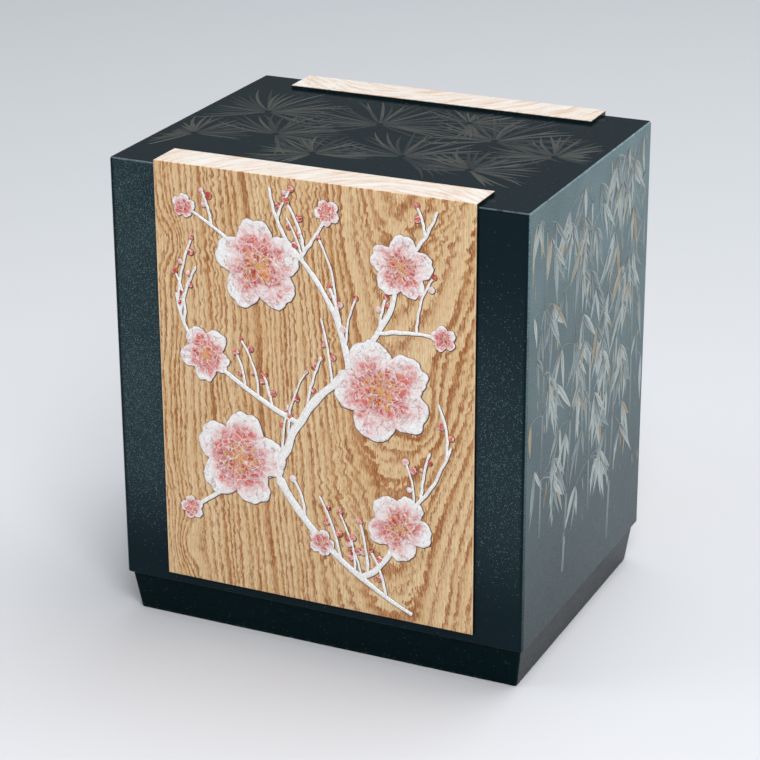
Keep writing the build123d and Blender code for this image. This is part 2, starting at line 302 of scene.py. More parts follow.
# Colours
lacquer_black = shown(4, 20, 26)
lacquer_plain = shown(2, 12, 15)
# Silver dust; on the body's sides and front it also paints their sheen
silver_dust_and_sheen = shown(153, 186, 191)
# Colour of the painted highlight on the body's rounded edges
edge_highlight_colour = shown(190, 199, 210)
lacquer_gloss = (0.55, 0.85, 1.0, 1.0)
plinth_gloss = (0.15, 0.8, 0.95, 1.0)
wood_pale = shown(234, 210, 171)
wood_tan = shown(210, 170, 116)
wood_early = shown(185, 125, 75)
wood_pore = shown(138, 79, 41)
end_pale = shown(204, 201, 197)
end_streak = shown(178, 141, 108)
shell_white = shown(246, 245, 244)
shell_grey = shown(188, 174, 168)
petal_crevice_shade = shown(140, 112, 102)
blush_pink = shown(234, 176, 174)
marble_line = shown(176, 122, 118)
coral = shown(210, 86, 76)
ember_red = shown(176, 24, 34)
amber = shown(232, 158, 82)
bed_dark = shown(40, 28, 22)
powder_silver = shown(188, 198, 196)
powder_pewter = shown(144, 159, 161)
powder_gold = shown(170, 156, 128)
fleck_gold = shown(206, 188, 148)
pewter_dim = shown(40, 46, 48)
pewter_glint = shown(70, 71, 66)
gold_leaf = shown(224, 174, 88)
gold_deep = shown(150, 98, 40)
amber_lacquer = shown(52, 24, 12)
planed_wood = shown(218, 186, 142)
planed_line = shown(190, 150, 104)
floor_near = shown(196, 197, 201)
floor_far = shown(189, 192, 196)


class Field:
    """A number that varies over a surface. Arithmetic on it adds Math nodes."""

    def __init__(self, look, socket):
        self.look = look
        self.socket = socket

    def call(self, operation, other=0.0):
        return self.look.math(operation, self, other)

    def __add__(self, other):
        return self.call("ADD", other)

    def __sub__(self, other):
        return self.call("SUBTRACT", other)

    def __rsub__(self, other):
        return self.look.math("SUBTRACT", other, self)

    def __mul__(self, other):
        return self.call("MULTIPLY", other)

    def __abs__(self):
        return self.call("ABSOLUTE")

    __radd__ = __add__
    __rmul__ = __mul__

    def step(self, low, high):
        """Smooth step from 0 at low to 1 at high."""
        inputs = enumerate((self, low, high))
        return self.look.field("ShaderNodeMapRange", inputs, interpolation_type="SMOOTHSTEP")

    def fade(self, low, high):
        """Smooth step from 1 at low to 0 at high."""
        return 1.0 - self.step(low, high)


class Look:
    """A material being built, by calls that each add nodes. Place is the rest place in millimetres."""

    def __init__(self, name):
        self.material = bpy.data.materials.new(name)
        self.material.use_nodes = True
        self.tree = self.material.node_tree
        self.shader = self.tree.nodes["Principled BSDF"]
        inputs = {0: self.add("ShaderNodeTexCoord").outputs["Object"], "Scale": 1 / MM}
        self.place = self.add("ShaderNodeVectorMath", inputs, operation="SCALE").outputs[0]

    def put(self, socket, value):
        if isinstance(value, Field):
            value = value.socket
        if isinstance(value, bpy.types.NodeSocket):
            self.tree.links.new(value, socket)
        else:
            socket.default_value = value

    def add(self, kind, inputs=(), **settings):
        """A new node with the given settings, and inputs by number or name."""
        node = self.tree.nodes.new(kind)
        for key, value in settings.items():
            setattr(node, key, value)
        for key, value in dict(inputs).items():
            self.put(node.inputs[key], value)
        return node

    def field(self, kind, inputs, output=0, **settings):
        return Field(self, self.add(kind, inputs, **settings).outputs[output])

    def math(self, operation, *inputs):
        return self.field("ShaderNodeMath", enumerate(inputs), operation=operation)

    def split(self, vector):
        """The three parts of a vector."""
        return [Field(self, part) for part in self.add("ShaderNodeSeparateXYZ", {0: vector}).outputs]

    def uv(self):
        return self.split(self.add("ShaderNodeTexCoord").outputs["UV"])[:2]

    def rim(self):
        """How near a petal's edge is, from 0 at its middle to 1."""
        return self.field("ShaderNodeAttribute", (), "Fac", attribute_name="rim")

    def join(self, *parts):
        return self.add("ShaderNodeCombineXYZ", enumerate(parts)).outputs[0]

    def texture(self, kind, sizes, at=None, inputs=(), **settings):
        """A texture in cells of one size, or three along x, y and z. With none, as the vector counts."""
        vector = self.place if at is None else at
        if sizes:
            scale = [1 / size for size in (sizes if len(sizes) == 3 else sizes * 3)]
            vector = self.add("ShaderNodeVectorMath", {0: vector, 1: scale}, operation="MULTIPLY").outputs[0]
        return self.add(kind, {"Vector": vector, "Scale": 1.0, **dict(inputs)}, **settings)

    def noise(self, *sizes, at=None, detail=2.0, roughness=0.5):
        inputs = {"Detail": detail, "Roughness": roughness}
        return Field(self, self.texture("ShaderNodeTexNoise", sizes, at, inputs).outputs[0])

    def warp(self, size, amount):
        """The place pushed along by noise of the given size, by up to the amount."""
        push = self.texture("ShaderNodeTexNoise", (size,)).outputs["Color"]
        inputs = enumerate((push, [amount] * 3, self.place))
        return self.add("ShaderNodeVectorMath", inputs, operation="MULTIPLY_ADD").outputs[0]

    def dust(self, size, share, density):
        """Fine specks scattered over a surface, in the given share of cells where the density is 1."""
        cells = self.texture("ShaderNodeTexVoronoi", (size,)).outputs
        draw = self.field("ShaderNodeSeparateColor", {0: cells["Color"]})
        return Field(self, cells["Distance"]).fade(0.16, 0.42) * (draw - density * share).fade(-0.02, 0.02)

    def cracks(self, *sizes, at=None):
        """Distance to the edges between cells."""
        cells = self.texture("ShaderNodeTexVoronoi", sizes, at, feature="DISTANCE_TO_EDGE")
        return Field(self, cells.outputs["Distance"])

    def chance(self, value):
        """A random number for each value."""
        return self.field("ShaderNodeTexWhiteNoise", {"W": value}, "Value", noise_dimensions="1D")

    def mix(self, share, first, second):
        """The first colour where the share is 0, and the second where it is 1."""
        return self.add("ShaderNodeMix", {0: share, 6: first, 7: second}, data_type="RGBA").outputs[2]

    def bump(self, height, depth):
        """Bump from a field, with its depth in millimetres."""
        inputs = {"Strength": 1.0, "Distance": depth * MM, "Height": height}
        self.put(self.shader.inputs["Normal"], self.add("ShaderNodeBump", inputs).outputs[0])

    def finish(self, base, roughness, **inputs):
        for key, value in {"Base_Color": base, "Roughness": roughness, **inputs}.items():
            self.put(self.shader.inputs[key.replace("_", " ")], value)
        return self.material


def painted_edge_highlight(x, y, z):
    """Mask of a painted highlight: 1 in the middle of the body's rounded top edges, a quarter as strong on
    the upright edges below.
    """
    wide = abs(x).step(body_half - edge_highlight_start, body_half - skin_full)
    deep = abs(y).step(body_deep - edge_highlight_start, body_deep - skin_full)
    high = z.step(body_top - edge_highlight_start, body_top - skin_full)
    return (0.25 * wide * deep).call("MAXIMUM", (wide * high).call("MAXIMUM", deep * high))


def body_lacquer():
    """Blue-black lacquer, sprinkled with silver dust that is thicker on the sides and in drifts. The silver
    mist over the sides and the left of the front is also painted sheen and reflection, and the rounded edges
    carry a painted highlight.
    """
    look = Look("body_lacquer")
    x, y, z = look.split(look.place)
    drift = look.noise(42)
    grain = look.noise(0.75, roughness=0.7).step(0.4, 0.68)
    on_side = abs(x).step(body_half - skin_start, body_half - skin_full)
    # By the front's upright edges the dust stops, leaving a dark stripe as painted dark reflection on the
    # rounded edge
    clear_of_dark_edge = abs(x).fade(body_half - 3.2, body_half - 1.4)
    on_front = abs(y).step(body_deep - skin_start, body_deep - skin_full) * clear_of_dark_edge

    # On the front the dust thins out downwards, and to the right it stays in a band. Its thickening to the
    # left is painted reflection, lighter on the left stile than on the right
    left_sheen = x.fade(-body_half, 0.4 * body_half)
    raised = z.step(body_foot + 14, body_foot + 80)
    band = raised * z.fade(body_top - 125, body_top - 20)
    front_dust_and_sheen = (raised * left_sheen + 0.64 * band * (1.0 - left_sheen)) * (0.75 + 0.5 * (drift - 0.5))
    # On the sides the silver mist is partly painted sheen, and its rise towards the back is painted
    # reflection
    side_dust_and_sheen = (0.6 + 0.4 * drift.step(0.25, 0.75)) * z.step(body_foot - 40, body_top - 30)
    side_dust_and_sheen = side_dust_and_sheen + 0.16 * y.step(-0.8 * body_deep, body_deep)
    scatter = 0.02 + on_side * side_dust_and_sheen + 1.6 * on_front * front_dust_and_sheen
    sparks = look.dust(0.72, 0.4, scatter)
    # Silver mist over the sides and front, partly dust and partly painted sheen
    side_mist_and_sheen = on_side * (0.05 + 0.43 * side_dust_and_sheen) * (0.6 + 0.7 * grain)
    front_mist_and_sheen = on_front * (0.004 + 0.108 * front_dust_and_sheen) * (0.4 + grain)
    specks = (0.34 * sparks * (1.0 - 0.8 * on_side) + side_mist_and_sheen + front_mist_and_sheen).call("MINIMUM", 1.0)
    # Painted highlight along the rounded edges, broken into patches by noise
    edge_highlight = painted_edge_highlight(x, y, z) * look.noise(4, detail=4).step(0.24, 0.56)
    base = look.mix(specks, lacquer_black, silver_dust_and_sheen)
    base = look.mix(0.18 * edge_highlight, base, edge_highlight_colour)
    smear = look.noise(9, detail=3)
    look.bump(look.noise(1.6), 0.01)
    roughness = 0.22 + 0.07 * smear + 0.2 * specks
    return look.finish(base, roughness, IOR=1.45, Specular_IOR_Level=0.18, Specular_Tint=lacquer_gloss)


def plinth_lacquer():
    """Plain black lacquer with the faint orange-peel of a brushed coat, scuffed at the foot."""
    look = Look("plinth_lacquer")
    z = look.split(look.place)[2]
    smear = look.noise(14, 14, 5, detail=3)
    specks = look.dust(0.8, 0.1, smear.step(0.4, 0.7))
    scuff = z.fade(0.0, 3.0) * look.noise(2, detail=3).step(0.5, 0.7)
    base = look.mix(0.2 * specks + 0.1 * scuff, lacquer_plain, silver_dust_and_sheen)
    look.bump(look.noise(1.8), 0.012)
    roughness = 0.24 + 0.08 * smear
    return look.finish(base, roughness, IOR=1.45, Specular_IOR_Level=0.12, Specular_Tint=plinth_gloss)


def board_wood(name, face_y, facing, pith_x, knots):
    """Ring-porous wood on the show face and top of a board, and black lacquer on the rest of it."""
    look = Look(name)
    x, y, z = look.split(look.place)
    depth = (face_y - y) * facing
    on_face = depth.fade(0.4, 0.55)
    on_top = z.step(board_high.z - 0.55, board_high.z - 0.4)
    between_edges = abs(x).fade(board_half - 0.05, board_half + 0.05)
    bare = on_face.call("MAXIMUM", on_top) * between_edges

    # Growth rings round a pith line behind the face, which leans so that the rings run out in arches
    lean = 0.035 + 0.105 * ((x - pith_x) * facing * -1.0).step(-75, 10)
    sway = look.noise(85, 85, 160) - 0.5
    ripple = look.noise(17, 17, 40, detail=3) - 0.5
    shiver = look.noise(3.5, 3.5, 9) - 0.5
    fray = look.noise(0.7, 0.7, 3) - 0.5
    curly = look.noise(40, 40, 60, detail=1).step(0.46, 0.66)
    curl = (0.8 * z + 18 * ripple + 6 * shiver).call("SINE")
    side = x - pith_x + 24 * sway
    behind = depth + pith_depth
    radius = (side * side + behind * behind).call("SQRT") - lean * z
    radius = radius + 4.0 * ripple + shiver + 2.6 * fray + 0.6 * curly * curl
    for knot_x, knot_z, swell, size in knots:
        wide = (x - knot_x) * (1 / size)
        tall = (z - knot_z) * (0.6 / size)
        radius = radius + swell * ((wide * wide + tall * tall) * -1.0).call("EXPONENT")
    radius = radius + 1.1 * (radius * 0.23).call("SINE") + 0.6 * (radius * 0.57).call("SINE")
    rings = radius * (1 / ring_pitch)
    phase = rings.call("FRACT")
    draw = look.chance(rings.call("FLOOR"))
    worn = look.noise(5, 5, 20).step(0.36, 0.6)
    early = phase.step(0.0, 0.12) * (phase - 0.3 * draw).fade(0.14, 0.52) * (0.5 + 0.5 * worn)
    season = phase.step(0.0, 0.12) * phase.fade(0.05, 0.95)

    # Pores as short dashes along the grain, thick in the early wood
    grain = look.join(x + 2.0 * sway, depth, z)
    dash = look.noise(0.62, 0.62, 4.2, at=grain, detail=1)
    fleck = look.noise(0.55, 0.55, 1.9, at=grain, roughness=0.6)
    fibre = look.noise(0.7, 0.7, 24, at=grain, detail=3, roughness=0.7)
    cloud = look.noise(20, 20, 55)
    pores = (dash + 0.13 * early).step(0.54, 0.68) * (0.45 + 0.55 * early)
    pores = pores.call("MAXIMUM", (0.4 + 0.4 * early) * (fleck + 0.09 * early).step(0.56, 0.7))
    tone = look.mix(0.5 * cloud + 3.0 * (fibre - 0.45) + 0.25 * draw, wood_pale, wood_tan)
    tone = look.mix(season * (0.22 + 0.46 * draw) + 0.36 * early, tone, wood_early)
    tone = look.mix(0.8 * pores, tone, wood_pore)
    # Painted highlight along the board's side edges
    arris_highlight = abs(x).step(board_half - 0.9, board_half - 0.3)
    tone = look.mix(0.55 * arris_highlight * fibre.step(0.3, 0.55), tone, wood_pale)

    # The top shows paler end grain, in streaks along the rings
    streaks = look.noise(at=look.join(0.55 * radius, 0.05 * x, 0.0), detail=4, roughness=0.65)
    end = look.mix(0.15 * early + 4.0 * (streaks - 0.46), end_pale, end_streak)
    end = look.mix(0.25 * pores, end, wood_tan)
    tone = look.mix(on_top * depth.step(0.15, 0.35), tone, end)

    # The rest is lacquered, with a few specks
    wiped = look.noise(12, 12, 30, detail=3)
    specks = look.dust(0.9, 0.16, wiped.step(0.35, 0.7))
    coat = look.mix(0.16 * specks + 0.03 * wiped, lacquer_plain, silver_dust_and_sheen)
    base = look.mix(bare, coat, tone)
    roughness = 0.3 + 0.12 * wiped + bare * (0.12 + 0.15 * pores)
    look.bump(bare * (0.4 * fibre - pores), 0.05)
    return look.finish(base, roughness, IOR=1.45, Specular_IOR_Level=0.28)


def eggshell():
    """Crackled white shell, marbled with pink and coral towards a blossom's middle: U runs out, V round."""
    look = Look("inlay_eggshell")
    x, _, z = look.split(look.place)
    reach, turn = look.uv()
    angle = turn * math.tau
    wheel = look.join(4 * angle.call("COSINE") + 0.05 * x, 4 * angle.call("SINE") + 0.05 * z, 2.0 * reach)
    streak = look.noise(at=wheel, detail=3, roughness=0.6) - 0.5
    cloud = look.noise(11) - 0.5
    bent = look.warp(6, 9)
    swirl = look.noise(4.5, at=bent, detail=4, roughness=0.6) - 0.5
    crumb = look.noise(0.9, roughness=0.7) - 0.5

    # Colour runs out from the middle in three washes, the deeper ones in patches with crumbled edges
    wash = (reach + 0.8 * streak + 0.9 * cloud + 0.5 * swirl + 0.3 * crumb).fade(0.42, 0.98)
    flush = (reach + 0.6 * streak + 0.9 * cloud + swirl + 0.25 * crumb).fade(0.4, 0.66)
    ember = flush * (swirl + 0.25 * crumb + 0.6 * cloud).step(-0.06, 0.05)
    base = look.mix(0.85 * wash, shell_white, blush_pink)
    base = look.mix(0.9 * flush, base, coral)
    base = look.mix(0.92 * ember, base, ember_red)

    # Veins, marbling and folds lie over the colour, and cracks over those
    vein = abs(look.noise(7, at=bent, detail=3) - 0.5).fade(0.006, 0.024)
    marble = abs(look.noise(9, at=bent, detail=4) - 0.47).fade(0.004, 0.022)
    folds = (look.noise(12, at=bent) * 9).call("FRACT")
    fold_line = abs(folds - 0.5).fade(0.02, 0.09) * (swirl + crumb).step(-0.1, 0.15)
    wide_crack = look.cracks(4.2, at=bent).fade(0.012, 0.065)
    fine_crack = look.cracks(1.3, at=bent).fade(0.02, 0.1)
    hair = look.cracks(3.0, at=look.warp(3, 4)).fade(0.006, 0.03)
    base = look.mix(0.85 * vein * reach.fade(0.2, 0.75), base, amber)
    base = look.mix((0.6 * marble + 0.45 * fold_line) * (1.0 - flush), base, marble_line)
    base = look.mix(flush * (0.7 * wide_crack + 0.08 * fine_crack), base, shell_white)
    base = look.mix(0.5 * hair * (1.0 - flush), base, shell_grey)
    rim = look.rim()
    # Painted highlight as a paler band on each petal's rolled rim, and painted shade as a dark line at its
    # foot, in the crevice between petals
    base = look.mix(0.3 * rim.step(0.7, 0.92) * (1.0 - rim.step(0.94, 1.0)), base, shell_white)
    base = look.mix(0.6 * rim.step(0.96, 0.998), base, petal_crevice_shade)
    look.bump(swirl + 0.7 * streak - 0.4 * hair + 0.4 * wide_crack * flush, 0.2)
    return look.finish(base, 0.26 + 0.2 * fine_crack, IOR=1.5, Specular_IOR_Level=0.4)


def branch_shell():
    """White shell of the branches, mottled and cracked in grey."""
    look = Look("inlay_branch")
    crack = look.cracks(1.5, 1.5, 2.6).fade(0.02, 0.09)
    mottle = look.noise(2.4, 2.4, 4.0, detail=4, roughness=0.6)
    base = look.mix(0.45 * mottle.step(0.54, 0.82), shell_white, shell_grey)
    base = look.mix(0.4 * crack, base, shell_grey)
    look.bump(mottle - 0.7 * crack, 0.07)
    return look.finish(base, 0.34 + 0.12 * crack, IOR=1.5, Specular_IOR_Level=0.4)


def inlay_bed_and_shadow():
    """Dark lacquer that the shell is bedded in, showing as its outline and, where the bed is shifted down and
    to the right, as a painted shadow.
    """
    look = Look("inlay_bed_and_shadow")
    worn = look.noise(2, detail=3)
    base = look.mix(worn.step(0.45, 0.75), bed_dark, wood_pore)
    return look.finish(base, 0.35 + 0.2 * worn)


def gold_relief():
    """Gold powder burnished over lacquer, with the lacquer showing in pinholes."""
    look = Look("gold_relief")
    grain = look.noise(0.35, detail=3, roughness=0.7)
    worn = look.noise(3.5, detail=3)
    hole = grain.fade(0.3, 0.42) * worn.step(0.35, 0.65)
    base = look.mix(0.75 * hole, gold_leaf, bed_dark)
    look.bump(grain, 0.03)
    return look.finish(base, 0.34 + 0.25 * grain, Metallic=0.55 - 0.5 * hole)


def petal_gold():
    """Gold powder, thick along a petal's rim and thin at its heart, where the lacquer shows."""
    look = Look("petal_gold")
    grain = look.noise(0.3, detail=3, roughness=0.7)
    worn = look.noise(5, detail=3)
    rim = look.rim()
    strewn = (grain + 0.75 * rim.step(0.0, 0.95) - 0.35 + 0.4 * (worn - 0.5)).step(0.25, 0.6)
    tone = look.mix(rim.step(0.55, 0.92), gold_deep, gold_leaf)
    base = look.mix(strewn, amber_lacquer, tone)
    look.bump(grain, 0.03)
    return look.finish(base, 0.3 + 0.2 * grain, Metallic=0.7 * strewn)


def powder(name, bright, middle, warm, cover):
    """Metal powder strewn on lacquer along a stroke: U counts strokes and runs along, V runs across."""
    look = Look(name)
    along, across = look.uv()
    draw = look.chance(along.call("FLOOR"))
    run = along.call("FRACT")
    grain = look.noise(0.45, detail=3, roughness=0.7)
    cloud = look.noise(16)
    tone = look.mix(draw.step(0.25, 0.75), middle, bright)
    tone = look.mix((draw + 0.6 * (cloud - 0.5) + 0.2 * (grain - 0.5)).step(0.8, 1.02), tone, warm)
    off = abs(across - 0.5)
    rim = off.step(0.2, 0.36)
    outline = off.step(0.38, 0.44)
    vein = 0.6 * off.fade(0.02, 0.08)
    thick = cover * (0.55 + 0.45 * run + 0.35 * rim - 0.45 * (1.0 - draw) * across)
    strewn = (grain + 0.9 * (thick - 0.5)).step(0.38, 0.62) * (1.0 - outline.call("MAXIMUM", vein))
    base = look.mix(strewn, lacquer_black, tone)
    look.bump(grain, 0.04)
    return look.finish(base, 0.32 + 0.22 * strewn, Metallic=0.35 * strewn, IOR=1.45)


def flaked_lacquer(name, ground, density):
    """Dark lacquer with gold flakes sunk in it, for the inside."""
    look = Look(name)
    drift = look.noise(30)
    fine = look.dust(0.9, 0.55, density * drift.step(0.2, 0.7))
    coarse = look.dust(2.0, 0.3, density * drift.step(0.3, 0.8))
    flakes = (fine + coarse).call("MINIMUM", 1.0)
    glow = look.mix(0.5 * drift, ground, amber_lacquer)
    base = look.mix(0.9 * flakes, glow, gold_leaf)
    look.bump(look.noise(2), 0.012)
    return look.finish(base, 0.22 + 0.15 * flakes, Metallic=0.8 * flakes, IOR=1.5)


def drawer_wood(name, lengthwise):
    """Pale planed softwood, with fine lines that run the given way, x or y."""
    look = Look(name)
    x, y, z = look.split(look.place)
    crossing = y if lengthwise == "x" else x
    sway_size = (160, 34, 34) if lengthwise == "x" else (34, 160, 34)
    fibre_size = (30, 0.5, 0.5) if lengthwise == "x" else (0.5, 30, 0.5)
    sway = look.noise(*sway_size)
    fibre = look.noise(*fibre_size, detail=3, roughness=0.65)
    lines = (0.34 * crossing + 0.5 * z + 5 * sway).call("FRACT")
    base = look.mix(lines.step(0.25, 0.95) * 0.65 + 0.9 * (fibre - 0.42), planed_wood, planed_line)
    look.bump(fibre, 0.04)
    return look.finish(base, 0.52 + 0.15 * fibre)


def knob_metal():
    """Gilt brass with brown tarnish in patches."""
    look = Look("knob_metal")
    tarnish = look.noise(2.2, detail=4, roughness=0.6)
    base = look.mix(tarnish.step(0.45, 0.8), gold_leaf, bed_dark)
    look.bump(look.noise(0.4), 0.02)
    return look.finish(base, 0.28 + 0.25 * tarnish, Metallic=0.9)


def add_object(name, data):
    piece = bpy.data.objects.new(name, data)
    bpy.context.collection.objects.link(piece)
    return piece


class Shape:
    """Points on a face of the box, each with a UV and a rim value, collected into one mesh object."""

    def __init__(self, face):
        self.origin, self.across, self.up = map(Vector, face)
        self.points = []
        self.faces = []
        self.uvs = []
        self.rims = []

    def add(self, spot, height, u, v, rim=0.0):
        out = self.across.cross(self.up) * height
        self.points.append((self.origin + self.across * spot.x + self.up * spot.y + out) * MM)
        self.uvs.append((u, v))
        self.rims.append(rim)
        return len(self.points) - 1

    def skin(self, rows):
        """Quads between rows of equal length, each row closed on itself."""
        for lower, upper in zip(rows, rows[1:]):
            count = len(lower)
            for i in range(count):
                j = (i + 1) % count
                self.faces.append((lower[i], lower[j], upper[j], upper[i]))

    def fan(self, centre, row):
        for i in range(len(row)):
            self.faces.append((centre, row[i], row[(i + 1) % len(row)]))

    def build(self, name, body, slot, look, *replaced):
        mesh = bpy.data.meshes.new(name)
        mesh.from_pydata(self.points, [], self.faces)
        outward = bmesh.new()
        outward.from_mesh(mesh)
        bmesh.ops.recalc_face_normals(outward, faces=outward.faces)
        outward.to_mesh(mesh)
        outward.free()
        layer = mesh.uv_layers.new(name="UVMap")
        for loop in mesh.loops:
            layer.data[loop.index].uv = self.uvs[loop.vertex_index]
        rim = mesh.attributes.new("rim", "FLOAT", "POINT")
        rim.data.foreach_set("value", self.rims)
        mesh.shade_smooth()
        mesh.set_sharp_from_angle(angle=math.radians(55))
        mesh.materials.append(looks[look])
        piece = add_object(name, mesh)
        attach(piece, body)
        if replaced:
            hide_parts(*replaced)


def aim(angle):
    """The unit vector at an angle."""
    return Vector((math.cos(angle), math.sin(angle)))


def left_of(heading):
    return Vector((-heading.y, heading.x))


def scaled(size, shares):
    return [size * share for share in shares]


def between(low, high, shares):
    return [low + (high - low) * share for share in shares]


def through(start, way, end, count):
    """Points on the smooth curve through three places."""
    points = []
    for i in range(count + 1):
        t = i / count
        first = 2 * (t - 0.5) * (t - 1)
        middle = 4 * t * (1 - t)
        last = 2 * t * (t - 0.5)
        points.append(Vector(start) * first + Vector(way) * middle + Vector(end) * last)
    return points


def ribbon(shape, path, widths, heights, sunk=sunk_depth, serial=0):
    """A closed, low, rounded strip along a path, lower where it is slim. Heights may be a single one."""
    rows = []
    last = len(path) - 1
    heights = heights if isinstance(heights, list) else [heights] * len(path)
    for i, place in enumerate(path):
        heading = (path[min(i + 1, last)] - path[max(i - 1, 0)]).normalized()
        side = -left_of(heading)
        slim = min(1.0, widths[i] / (0.8 * max(widths)) + 0.3)
        along = serial + 0.02 + 0.96 * i / last
        row = []
        for offset, rise in strip_section:
            spot = place + side * offset * widths[i]
            level = -sunk if rise is None else heights[i] * rise * slim
            row.append(shape.add(spot, level, along, offset + 0.5))
        rows.append(row)
    shape.skin(rows)
    shape.faces.append(tuple(reversed(rows[0])))
    shape.faces.append(tuple(rows[-1]))


def petal(shape, flower, centre, radius, heading, height, serial, reach, spread=0.0):
    """One ruffled petal with a rolled rim, as a closed disc. Spread makes it wider, for its bed."""
    levels = bed_levels if spread else petal_levels
    turns = [math.tau * i / petal_spokes for i in range(petal_spokes)]

    def place(share, turn):
        ring = Vector((math.cos(turn), math.sin(turn), serial * 3.7))
        wave = sum(strength * noise.noise(ring * fineness) for strength, fineness in petal_ruffles)
        away = turn if turn < math.pi else turn - math.tau
        notch = notch_share * math.exp(-(away / notch_angle) ** 2)
        long = 1.0 + stretch_share * math.cos(turn) ** 2
        size = (radius * (long + ruffle_share * wave - notch) + spread) * share
        return centre + aim(turn + heading) * size

    def corner(share, turn, level):
        spot = place(share, turn)
        arm = spot - flower
        angle = math.atan2(arm.y, arm.x)
        if not spread:
            spine = Vector((6 * math.cos(angle), 6 * math.sin(angle), serial + arm.length * 0.12))
            level += 0.55 * share * noise.noise(spine) + 0.16 * noise.noise(spine * 2.7)
        rise = height * max(0.25, min(1.0, level))
        return shape.add(spot, rise, arm.length / reach, angle / math.tau, share)

    rows = [[corner(share, turn, level) for turn in turns] for share, level in levels]
    foot = []
    for turn in turns:
        spot = place(1.0, turn)
        out = (spot - flower).length / reach
        foot.append(shape.add(spot, -sunk_depth, out, 0.0, 1.0))
    rows.append(foot)
    shape.skin(rows)
    shape.fan(corner(0.0, 0.0, levels[0][1]), rows[0])
    shape.fan(shape.add(centre, -sunk_depth, 0.0, 0.0), foot)


def bead(shape, spot, radius, height, tint=0.0):
    """A small dome."""
    levels = [(1.0, -sunk_depth)]
    levels += [(share, level * height) for share, level in bead_levels]
    rows = []
    for share, level in levels:
        row = []
        for i in range(bead_spokes):
            place = spot + aim(math.tau * i / bead_spokes) * radius * share
            row.append(shape.add(place, level, tint, i / bead_spokes))
        rows.append(row)
    shape.skin(rows)
    shape.fan(shape.add(spot, height, tint, 0.5), rows[-1])
    shape.faces.append(tuple(reversed(rows[0])))


def stamens(shape, spot, width, draw):
    """A crown of thin gold threads, with a bead at the end of each."""
    count = stamen_counts[width > large_width]
    for i in range(count):
        out = aim(math.tau * (i + draw.uniform(-0.3, 0.3)) / count)
        tip = spot + out * width * draw.uniform(*stamen_shares)
        bend = left_of(out) * draw.uniform(-stamen_bend, stamen_bend)
        path = through(spot + out * stamen_start, (spot + tip) / 2 + bend, tip, len(stamen_widths) - 1)
        ribbon(shape, path, stamen_widths, inlay_proud * 0.98, sunk=0.0)
        bead(shape, tip, 0.016 * width, inlay_proud)


def blossom(parts, spot, width, turn, draw):
    """A plum blossom in its bed, which shows past it as a painted shadow. All but the small ones are double,
    with a crown of stamens.
    """
    shells, beds_and_shadows, golds = parts
    reach = width / 2
    rings = (outer_petals, inner_petals) if width > double_width else (outer_petals,)
    for count, place, size, rise, half in rings:
        for i in range(count):
            heading = math.radians(turn) + math.tau * (i + half) / count + draw.uniform(-0.06, 0.06)
            centre = spot + aim(heading) * place * width * draw.uniform(0.97, 1.03)
            radius = size * width * draw.uniform(0.94, 1.05)
            serial = draw.uniform(0, 50)
            lift = inlay_proud * rise * draw.uniform(0.92, 1.0)
            petal(shells, spot, centre, radius, heading, lift, serial, reach)
            if half == 0.0:
                bed_and_shadow = centre + bed_shadow_shift
                petal(beds_and_shadows, spot, bed_and_shadow, radius, heading, bed_height, serial, reach, spread=bed_spread)
    if width > double_width:
        stamens(golds, spot, width, draw)
    bead(golds, spot, 0.035 * width, inlay_proud * 0.95)


def blossom_clearance(spot, blossoms):
    """0 under a blossom, rising to 1 just outside it."""
    share = 1.0
    for centre, width, _ in blossoms:
        away = ((spot - centre).length / width - clear_start) / clear_ramp
        share = min(share, max(0.0, away))
    return share


def branch(parts, route, start_width, end_width, blossoms, draw):
    """A wavering branch of shell in its dark bed, which shows past it as a painted shadow, with a rounded
    tip. It sinks under blossoms it meets.
    """
    shells, beds_and_shadows = parts
    path = through(*route, branch_steps)
    serial = draw.uniform(0, 90)
    widths = []
    for i in range(branch_steps + 1):
        share = i / branch_steps
        wobble = noise.noise(Vector((share * 9, serial, 0.0)))
        side = noise.noise(Vector((share * 6, serial, 7.0)))
        width = start_width + (end_width - start_width) * share
        widths.append(width * (1 + branch_wobble * wobble))
        if 0 < i < branch_steps:
            path[i] = path[i] + Vector((side, -side)) * branch_sway * width
    widths[-2] *= branch_tip[0]
    widths[-1] *= branch_tip[1]
    clear = [blossom_clearance(spot, blossoms) for spot in path]
    ribbon(shells, path, widths, between(branch_low, inlay_proud * 0.8, clear))
    shifted = [spot + bed_shadow_shift for spot in path]
    bed_widths = [width + 2 * bed_spread for width in widths]
    ribbon(beds_and_shadows, shifted, bed_widths, between(bed_low, bed_height, clear))


def shoots(branches, blossoms, draw):
    """Young shoots that rise from the branches where there is room, as routes and widths."""
    found = []
    for *parent, _, _ in branches:
        for foot in through(*parent, shoot_steps)[2:-1:2]:
            side = draw.choice((-1, 1))
            lean = Vector((side * draw.uniform(*shoot_lean), 1.0)).normalized()
            length = draw.uniform(*shoot_length)
            tip = foot + lean * length
            sway = left_of(lean) * length * draw.uniform(*shoot_sway) * side
            route = (foot, foot + lean * length * 0.5 + sway, tip)
            inside = abs(tip.x) < board_half - shoot_side_gap and tip.y < board_tall - shoot_top_gap
            apart = all((tip - other[0][2]).length > shoot_apart for other in found)
            free = all(blossom_clearance(spot, blossoms) == 1.0 for spot in through(*route, shoot_checks)[1:])
            if inside and apart and free:
                found.append((route, draw.uniform(*shoot_width)))
    return found


